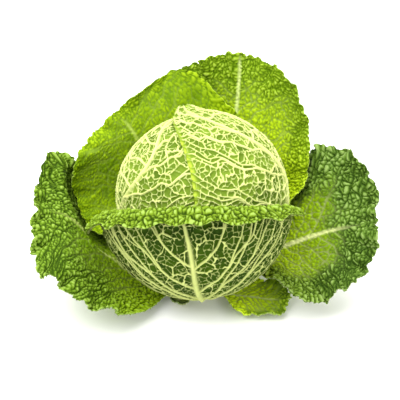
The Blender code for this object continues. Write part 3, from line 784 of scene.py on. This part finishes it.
# The leaves' finishes. baseSpan and marginSpan: where the base's and the margin's colours start and end along
# the leaf. lines: how wide the large and the small net's lines look, in millimetres. gap: painted shade in
# the creases between the blisters. The blisters' tops on the margin get a painted highlight, and bubble: how
# far from its border a blister is before that highlight is full, in millimetres. The shares say how strongly
# a colour shows.
# veinUnder and veinTop: the same for the veins, on the outer and on the inner side. veinFade: what they lose
# on the margin.
finishes = {
    "head": {
        "deep": (0.056, 0.112, 0.003), "bright": (0.176, 0.272, 0.022), "base": (0.4, 0.496, 0.128),
        "baseSpan": (0.0, 0.25), "margin": (0.36, 0.512, 0.016), "marginSpan": (0.0, 0.1), "marginShare": 0.8,
        "gap": (0.048, 0.096, 0.002), "paintedShadeInside": 0.4, "paintedShadeMargin": 0.6, "paintedHighlight": (0.60, 0.72, 0.10),
        "paintedHighlightShare": 0.5, "underside": (0.208, 0.296, 0.048), "underShare": 0.3,
        "vein": (0.66, 0.70, 0.26), "veinShade": (0.48, 0.56, 0.12), "veinUnder": 1.0, "veinTop": 0.5,
        "veinFade": 0.8, "lines": (0.85, 0.64), "fineShare": 0.7, "bubble": 1.8, "ribShare": 0.5,
        "toneShare": 0.45, "bump": 0.25,
    },
    "wrapper": {
        "deep": (0.012, 0.032, 0.001), "bright": (0.058, 0.115, 0.003), "base": (0.28, 0.368, 0.08),
        "baseSpan": (0.0, 0.08), "margin": (0.22, 0.345, 0.018), "marginSpan": (0.3, 0.5), "marginShare": 0.8,
        "gap": (0.020, 0.048, 0.001), "paintedShadeInside": 0.3, "paintedShadeMargin": 0.95, "paintedHighlight": (0.36, 0.50, 0.13),
        "paintedHighlightShare": 0.5, "underside": (0.014, 0.036, 0.001), "underShare": 0.8,
        "vein": (0.47, 0.52, 0.17), "veinShade": (0.31, 0.37, 0.07), "veinUnder": 1.0, "veinTop": 0.25,
        "veinFade": 0.3, "lines": (0.76, 0.56), "fineShare": 0.5, "bubble": 1.5, "ribShare": 0.5,
        "toneShare": 0.4, "bump": 0.3,
    },
    "lime": {
        "deep": (0.102, 0.190, 0.002), "bright": (0.26, 0.39, 0.004), "base": (0.50, 0.68, 0.006),
        "baseSpan": (0.05, 0.60), "margin": (0.27, 0.41, 0.003), "marginSpan": (0.1, 0.5), "marginShare": 0.5,
        "gap": (0.055, 0.120, 0.001), "paintedShadeInside": 0.8, "paintedShadeMargin": 0.8, "paintedHighlight": (0.38, 0.52, 0.02),
        "paintedHighlightShare": 0.4, "underside": (0.288, 0.4, 0.09),
        "vein": (0.42, 0.53, 0.10), "veinShade": (0.30, 0.42, 0.04), "veinTop": 0.20,
        "bubble": 1.3, "ribShare": 0.6,
    },
    "tall": {
        "deep": (0.150, 0.265, 0.003), "bright": (0.31, 0.45, 0.010), "base": (0.66, 0.88, 0.014),
        "baseSpan": (0.42, 0.90), "margin": (0.190, 0.310, 0.012), "marginSpan": (0.45, 0.8),
        "marginShare": 0.6, "gap": (0.058, 0.125, 0.001), "paintedShadeInside": 0.65, "paintedShadeMargin": 0.9,
        "paintedHighlight": (0.46, 0.60, 0.09), "paintedHighlightShare": 0.4, "underside": (0.24, 0.352, 0.09),
        "vein": (0.60, 0.70, 0.24), "veinShade": (0.36, 0.50, 0.07), "veinTop": 0.22,
        "bubble": 1.4, "ribShare": 1.0,
    },
    "broad": {
        "deep": (0.070, 0.155, 0.001), "bright": (0.17, 0.30, 0.006), "base": (0.30, 0.47, 0.004),
        "baseSpan": (0.15, 0.75), "margin": (0.135, 0.235, 0.016), "marginSpan": (0.15, 0.6),
        "marginShare": 0.7, "gap": (0.016, 0.042, 0.001), "paintedShadeInside": 0.6, "paintedShadeMargin": 0.95,
        "paintedHighlight": (0.36, 0.50, 0.10), "paintedHighlightShare": 0.5, "underside": (0.20, 0.30, 0.08),
        "vein": (0.54, 0.62, 0.17), "veinShade": (0.30, 0.44, 0.05), "veinTop": 0.22,
        "bubble": 1.5, "ribShare": 0.8,
    },
    "dark": {
        "deep": (0.070, 0.150, 0.002), "bright": (0.17, 0.30, 0.008), "base": (0.46, 0.64, 0.004),
        "baseSpan": (0.20, 0.85), "margin": (0.080, 0.150, 0.022), "marginSpan": (0.1, 0.4),
        "marginShare": 0.75, "gap": (0.016, 0.040, 0.002), "paintedShadeInside": 0.6, "paintedShadeMargin": 0.95,
        "paintedHighlight": (0.34, 0.46, 0.14), "paintedHighlightShare": 0.5, "underside": (0.192, 0.288, 0.09),
        "vein": (0.70, 0.74, 0.32), "veinShade": (0.42, 0.52, 0.12), "veinTop": 0.22,
        "bubble": 1.7, "ribShare": 1.0,
    },
}
plainFinish = {
    "underShare": 0.8, "veinUnder": 0.9, "veinFade": 0.4, "lines": (1.0, 0.6), "fineShare": 0.4,
    "toneShare": 0.35, "bump": 0.35,
}
skin = {
    "broad": (22.0, 3.0), "fine": (260.0, 3.0), "pores": 420.0,  # the noises' scale and detail
    "broadShare": 1.6, "fineShare": 0.7, "dullness": 0.55, "veinShading": 0.35,
    "mainLine": (0.3, 0.95), "innerLine": 0.3,  # where a vein's colour starts to fade, in its widths
    "roughness": (0.40, 0.22, 0.10),  # the least, what the grain adds and what the veins add
    "specular": 0.04, "depth": 0.0006, "fineDepth": 0.35,
}


# the cells' colour runs from base to tip and varies by cell, the creases between the blisters are darkened as
# painted shade and the blisters' tops on the margin lightened as a painted highlight, the veins are pale, and
# the underside is duller
def leafMaterial(name, look):
    board = Board(name)
    place = board.place()
    mainVein, large, small = (board.fact(key) for key in ("mainVein", "largeNet", "smallNet"))
    tone, under, along, rib, margin = (board.fact(key) for key in ("tone", "under", "along", "rib", "margin"))
    line1, line2 = look["lines"]
    fineNet = (1 - board.between(small, skin["innerLine"] * line2, line2)) * look["fineShare"]
    largeNet = 1 - board.between(large, skin["innerLine"] * line1, line1)
    vein = (1 - board.between(mainVein, *skin["mainLine"])).most(largeNet).most(fineNet)
    rise = board.between(small, 0.0, 0.9) * (board.between(large, 0.0, 1.4) * 0.5 + 0.5)
    broad, fine = board.noise(place, *skin["broad"]), board.noise(place, *skin["fine"])
    pores = board.node("ShaderNodeTexVoronoi", {"feature": "SMOOTH_F1"},
                       {"Vector": place, "Scale": skin["pores"], "Smoothness": 0.4}).wire("Distance")
    shade = (broad - 0.5) * skin["broadShare"] + tone * look["toneShare"] + (fine - 0.5) * skin["fineShare"]
    green = board.mix(shade + 0.5, look["deep"], look["bright"])
    green = board.mix(board.between(along, *look["baseSpan"]) * -1 + 1, green, look["base"])
    beyond = board.between(along, *look["marginSpan"])
    green = board.mix(margin * beyond * look["marginShare"], green, look["margin"])
    # painted shade: the creases between the blisters, where rise is low, are darkened towards the gap colour,
    # more strongly on the margin
    flat = margin * (look["paintedShadeMargin"] - look["paintedShadeInside"]) + look["paintedShadeInside"]
    green = board.mix((1 - rise) * flat, green, look["gap"])
    # painted highlight: the blisters' tops on the margin are lightened towards a paler green
    paintedHighlight = board.between(small, 0.6, look["bubble"]) * margin * (beyond * 0.6 + 0.4)
    green = board.mix(paintedHighlight * look["paintedHighlightShare"], green, look["paintedHighlight"])
    dull = board.mix(skin["dullness"], green, look["underside"])
    green = board.mix(under * look["underShare"], green, dull)
    pale = board.mix(board.between(fine, 0.3, 0.7) * skin["veinShading"], look["vein"], look["veinShade"])
    onTop = (1 - under) * (1 - margin) * look["veinTop"]
    lined = vein * (under * (1 - margin * look["veinFade"]) * look["veinUnder"] + onTop)
    colour = board.mix(lined, green, pale)
    colour = board.mix(rib * look["ribShare"], colour, look["vein"])
    least, matt, veinMatt = skin["roughness"]
    board.feed(board.shader, {
        "Base Color": colour, "Roughness": least + (1 - fine) * matt + vein * veinMatt,
        "Normal": board.bump(look["bump"], skin["depth"],
                             fine * skin["fineDepth"] + (1 - pores) * (1 - skin["fineDepth"])),
        "Specular IOR Level": skin["specular"],
    })
    return board.material


leafGreens = {key: leafMaterial(key + "_leaf_green", {**plainFinish, **finishes[key]}) for key in finishes}

# The head's leaves and the wrapper

headRelief = {
    "netWidths": (0.00120, 0.00080), "netHeights": (0.0009, 0.0005), "puffs": (0.0010, 0.0010),
    "marginPuffs": (0.0012, 0.0016), "marginFrom": 0.95, "marginWidth": 0.04, "notch": 0.5, "blade": 0.0012,
    "innerSteps": (5, 5), "smoothBack": 1, "ribFade": (0.9, 0.1),
}
headLeft = {
    **headRelief, "cells": (0.0098, 0.0047), "spacing": 0.00074,
    "veins": {"mid": 0.20, "midBend": (0.33, -0.3, 0.5), "midWidth": (0.0040, 0.0014), "midHeight": 0.0018,
              "starts": (-0.75, -0.49, -0.24, 0.0, 0.23, 0.45, 0.66), "rise": (0.42, 0.26), "bow": 0.80,
              "wave": 0.016, "fork": 0.36, "forkRise": 0.55, "sideWidth": 0.0015, "sideHeight": 0.0011},
    "focus": {"u": (0.05, 1), "v": (-0.2, 1), "sparser": 1.8},
}
headRight = {
    **headRelief, "cells": (0.0102, 0.0049), "spacing": 0.00076,
    "veins": {"mid": -0.07, "midBend": (-0.53, 0.0, 0.8), "midWidth": (0.0042, 0.0013), "midHeight": 0.0018,
              "starts": (-0.74, -0.48, -0.24, -0.02, 0.20, 0.42, 0.64), "rise": (0.34, 0.20), "bow": 0.80,
              "wave": 0.018, "fork": 0.34, "forkRise": 0.55, "sideWidth": 0.0015, "sideHeight": 0.0011},
    "focus": {"u": (-1, 0.1), "v": (-0.2, 1), "sparser": 1.8},
}
wrapperRelief = {
    "cells": (0.0118, 0.0052), "netWidths": (0.00115, 0.00075), "netHeights": (0.0011, 0.0005),
    "veins": {"mid": 0.0, "midBend": (0.020, -0.6, 0.3), "midWidth": (0.0048, 0.0016), "midHeight": 0.0030,
              "starts": (-0.93, -0.72, -0.42, -0.08), "rise": (1.6, 4.0), "bow": 1.4,
              "wave": 0.030, "fork": 0.36, "forkRise": 0.60, "sideWidth": 0.0016, "sideHeight": 0.0015},
    "puffs": (0.0008, 0.0009), "marginPuffs": (0.0006, 0.0026), "lipFrom": 0.38, "notch": 0.6,
    "blade": 0.0012, "spacing": 0.00080, "innerSteps": (6, 1), "smoothBack": 1, "ribFade": (0.60, 0.05),
    "focus": {"u": (-0.65, 0.65), "v": (-0.9, 1), "sparser": 1.4}, "rimCells": (0.38, 0.75),
}


def makeLeaf(name, surface, relief, node, slot, finish):
    leaf = {**plainRelief, **relief}
    u, v = samples(surface, leaf["spacing"], leaf["focus"])
    gridV, gridU = np.meshgrid(v, u, indexing="ij")
    rimFrom, rimGrain = leaf["rimCells"]
    grain = 1 + (rimGrain - 1) * ease(v, (rimFrom, 0.1))
    sheet = Sheet(u, v, surface(gridU, gridV), grain)
    inner, outer, facts = reliefOf(sheet, leaf)
    rowStep, columnStep = leaf["innerSteps"]
    fineFrom = leaf.get("lipFrom", 1) - 0.12  # every row is kept from a little below the lip or the tip on
    kept = np.ix_(keptLines(v, rowStep, fineFrom), keptLines(u, columnStep, 1))
    piece = leafMesh(name + "_blade", inner, outer, facts, kept)
    place(piece, node, slot, leafGreens[finish])


def leftSurface(u, v):
    return headLeafSurface(False, u, v)


def rightSurface(u, v):
    return headLeafSurface(True, u, v)


makeLeaf("head_leaf_left", leftSurface, headLeft, "head", "head_leaf", "head")
makeLeaf("head_leaf_right", rightSurface, headRight, "head_leaf_right", "head_leaf", "head")
makeLeaf("wrapper_leaf_front", wrapperSurface, wrapperRelief, "wrapper_leaf_front", "wrapper_leaf", "wrapper")

# The outer leaves settle on each other on coarse grids, and the fine grids carry that shift.

coarse = np.linspace(-1, 1, 61)
coarseV, coarseU = np.meshgrid(coarse, coarse, indexing="ij")
laid = {
    "head": np.concatenate((leftSurface(coarseU, coarseV), rightSurface(coarseU, coarseV))),
    "wrapper_leaf_front": wrapperSurface(coarseU, coarseV),
}


# the height of an outer leaf's midrib at the stem
def midribHeight(leaf):
    return 0.036 * leaf["halfWidth"][0]


def outerVeins(leaf):
    height = midribHeight(leaf)
    return {"mid": 0.0, "midBend": (0.0, 0.0, 1.0), "midWidth": (1.4 * height, 0.0011), "midHeight": height,
            "starts": (-0.55, -0.36, -0.17, 0.02, 0.21, 0.40, 0.58), "rise": (0.75, 0.45), "bow": 0.85,
            "wave": 0.014, "fork": 0.40, "forkRise": 0.40, "sideWidth": 0.0015, "sideHeight": 0.0010}


# a settled leaf's outer face: it swells by height*(1 - (distance/(2 height))^2) along the midrib
def swollen(leaf, points):
    height = midribHeight(leaf)
    offRib = np.linalg.norm(points - points[:, len(coarse) // 2, None], axis=-1)
    swell = height * np.clip(1 - (offRib / (2 * height)) ** 2, 0, 1) * (1 - (coarseV + 1) / 2) ** 0.8
    return points - innerNormals(points) * swell[..., None]


for name, leaf in outerLeaves.items():
    loose = outerSurface(leaf, coarseU, coarseV)
    settled = settle(loose, [laid[other] for other in leaf["outsideOf"]])
    laid[name] = swollen(leaf, settled)
    shift = settled - loose

    def surface(u, v, leaf=leaf, shift=shift):
        rowWeights, columnWeights = (carryWeights(len(coarse), places) for places in (v[:, 0], u[0]))
        carried = np.einsum("ia,abk,jb->ijk", rowWeights, shift, columnWeights)
        return outerSurface(leaf, u, v, leaf["frill"]) + carried

    makeLeaf(name, surface, {"veins": outerVeins(leaf), **leaf["relief"]}, name, leaf["slot"], leaf["finish"])

# The core and the stem, as turned forms: a ball with faint folds, and a tapering stub with leaf scars

core = {
    "inside": 0.0055,  # how far it lies inside the left leaf's surface
    "folds": (0.0006, 5, 3), "dark": (0.42, 0.56, 0.12), "light": (0.62, 0.72, 0.26), "grain": (160.0, 4.0),
    "blotches": (25.0, 2.0), "bump": (0.4, 0.0008),
}
stem = {
    "radius": 0.0175, "topRadius": 0.0120, "gap": 0.0008, "coreRadius": 0.0743, "trim": 0.96,
    "heights": (0, 0, 0.02, 0.05, 0.12, 0.22, 0.33, 0.44, 0.56, 0.68, 0.8, 0.9, 0.97, 1.0),
    "profile": ((0, 1), (0.05, 1.04), (0.33, 1), (0.68, 0.86)),  # share of the height, share of the radius
    "faceRing": 0.55, "chamfer": 0.985,  # the radius of the ring inside the cut face, and of the cut's edge
    "scars": ((0.022, 5, 9), (0.012, 11, -6)),
    "cut": (0.72, 0.74, 0.42), "pith": (0.80, 0.82, 0.60), "pithSpan": (0.006, 0.011),
    "ring": (0.50, 0.56, 0.22), "ringSpan": (0.0125, 0.0145), "skin": (0.62, 0.70, 0.34),
    "faceSpan": (0.0002, 0.0010), "fine": (300.0, 4.0), "fibre": (90.0, 2.0), "bump": (0.4, 0.0005),
}


# rings of points joined into a closed form, with a middle point at each end
def turnedMesh(name, rings):
    count, around = rings.shape[:2]
    points = np.concatenate((rings.reshape(-1, 3), rings[0].mean(axis=0)[None], rings[-1].mean(axis=0)[None]))
    index = np.arange(count * around).reshape(count, around)
    turned = np.roll(index, -1, axis=1)
    quads = np.stack((index[:-1], turned[:-1], turned[1:], index[1:]), axis=-1).reshape(-1, 4)
    foot = [(count * around, b, a) for a, b in zip(index[0].tolist(), turned[0].tolist())]
    top = [(count * around + 1, a, b) for a, b in zip(index[-1].tolist(), turned[-1].tolist())]
    mesh = bpy.data.meshes.new(name)
    mesh.from_pydata(points.tolist(), [], quads.tolist() + foot + top)
    mesh.update()
    mesh.shade_smooth()
    return linked(name, mesh)


# the angles of a ring's points round its axis
def ringAngles(count):
    return np.linspace(0, 2 * math.pi, count + 1)[:-1]


# radius + size*sin(5 azimuth + 3 theta) at each angle from the stem
def coreRings():
    theta, azimuth = np.meshgrid(np.linspace(0.02, math.pi - 0.02, 60), ringAngles(96), indexing="ij")
    size, around, along = core["folds"]
    radius = head["radius"] - head["step"] - core["inside"] + size * np.sin(around * azimuth + along * theta)
    return headPoint(head["centre"], radius * np.sin(theta), -radius * np.cos(theta), azimuth, 0.0, 0.0)


# a centre line from the cut to the bottom of the core, with rings that tilt as the head leans
def stemRings():
    axis = np.array((0, math.sin(head["lean"]), math.cos(head["lean"])))
    top = head["centre"] - axis * (stem["coreRadius"] + stem["gap"])
    share = np.array(stem["heights"])
    shares, sizes = zip(*stem["profile"], (1, stem["topRadius"] / stem["radius"]))
    radius = stem["radius"] * np.interp(share, shares, sizes) * stem["trim"]
    radius[0] *= stem["faceRing"]
    radius[:2] *= stem["chamfer"]
    share, azimuth = np.meshgrid(share, ringAngles(64), indexing="ij")
    waves = sum((size * np.sin(around * azimuth + along * share) for size, around, along in stem["scars"]), 1)
    radius = (radius[:, None] * waves)[..., None]
    tilt = (head["lean"] * share**2)[..., None]
    right, back = np.array((1.0, 0, 0)), np.concatenate((0 * tilt, np.cos(tilt), -np.sin(tilt)), axis=-1)
    outward = np.cos(azimuth)[..., None] * right + np.sin(azimuth)[..., None] * back
    return top * share[..., None] + radius * outward


# pith, then a paler face and a green ring out to the rim, and a streaky skin above the cut
def stemMaterial():
    board = Board("stalk")
    place = board.place()
    apart = board.node("ShaderNodeSeparateXYZ", {}, {0: place})
    x, y, z = apart.wire(0), apart.wire(1), apart.wire(2)
    radius = (x * x + y * y) ** 0.5
    fine, fibre = board.noise(place, *stem["fine"]), board.noise(place, *stem["fibre"])
    unevenRadius = radius + (fibre - 0.5) * 0.004
    face = board.mix(board.between(unevenRadius, *stem["pithSpan"]), stem["pith"], stem["cut"])
    face = board.mix(board.between(radius, *stem["ringSpan"]), face, stem["ring"])
    side = board.mix(fibre, stem["skin"], stem["cut"])
    colour = board.mix(board.between(z, *stem["faceSpan"]), face, side)
    colour = board.mix((fine - 0.4) * 0.6, colour, stem["ring"])
    board.feed(board.shader, {
        "Base Color": colour, "Roughness": 0.45 + fine * 0.25,
        "Normal": board.bump(*stem["bump"], fine + fibre),
        "Subsurface Weight": 0.1, "Subsurface Scale": 0.002,
    })
    return board.material


def coreMaterial():
    board = Board("inner_leaves")
    place = board.place()
    fine, broad = board.noise(place, *core["grain"]), board.noise(place, *core["blotches"])
    board.feed(board.shader, {
        "Base Color": board.mix(broad, core["dark"], core["light"]), "Roughness": 0.45 + fine * 0.2,
        "Normal": board.bump(*core["bump"], fine),
    })
    return board.material


place(turnedMesh("head_core", coreRings()), "head", "head_leaf", coreMaterial())
place(turnedMesh("stem_stub", stemRings()), "stem", "stem", stemMaterial())

# The floor, the lights and the camera

room = {
    "target": Vector((0.0, 0.0035, 0.0957)), "elevation": 30, "distance": 1.3, "lens": 128.0,
    "sky": 1.10, "floor": (0.96, 0.96, 0.96), "floorRoughness": 0.9, "floorReach": 9,
    "lamps": {  # place, size and watts
        "key_light": ((-0.7, -0.8, 1.8), 1.4, 46), "fill_light": ((1.4, -1.2, 1.0), 1.4, 11),
        "top_light": ((0.3, 0.7, 2.0), 1.2, 30),
    },
}


def makeFloor():
    reach = room["floorReach"]
    mesh = bpy.data.meshes.new("floor")
    mesh.from_pydata([(-reach, -reach, 0), (reach, -reach, 0), (reach, reach, 0), (-reach, reach, 0)], [],
                     [(0, 1, 2, 3)])
    board = Board("floor")
    board.feed(board.shader, {"Base Color": room["floor"], "Roughness": room["floorRoughness"]})
    mesh.materials.append(board.material)
    linked("floor", mesh)


def makeLights():
    bpy.context.scene.view_settings.view_transform = "Standard"
    world = bpy.data.worlds.new("soft_white")
    bpy.context.scene.world = world
    world.use_nodes = True
    world.node_tree.nodes["Background"].inputs["Color"].default_value = (1, 1, 1, 1)
    world.node_tree.nodes["Background"].inputs["Strength"].default_value = room["sky"]
    for name, (position, size, power) in room["lamps"].items():
        lamp = bpy.data.lights.new(name, "AREA")
        lamp.size, lamp.energy = size, power
        made = linked(name, lamp)
        made.location = position
        made.rotation_euler = (room["target"] - Vector(position)).to_track_quat("-Z", "Y").to_euler()


# away = (0, -cos elevation, sin elevation), and the camera looks back along it
def makeCamera():
    lens = bpy.data.cameras.new("camera")
    lens.lens, lens.sensor_width = room["lens"], 36
    camera = linked("camera", lens)
    height = math.radians(room["elevation"])
    away = Vector((0, -math.cos(height), math.sin(height)))
    camera.location = room["target"] + away * room["distance"]
    camera.rotation_euler = (-away).to_track_quat("-Z", "Y").to_euler()
    bpy.context.scene.camera = camera


makeFloor()
makeLights()
makeCamera()
print("room ready")
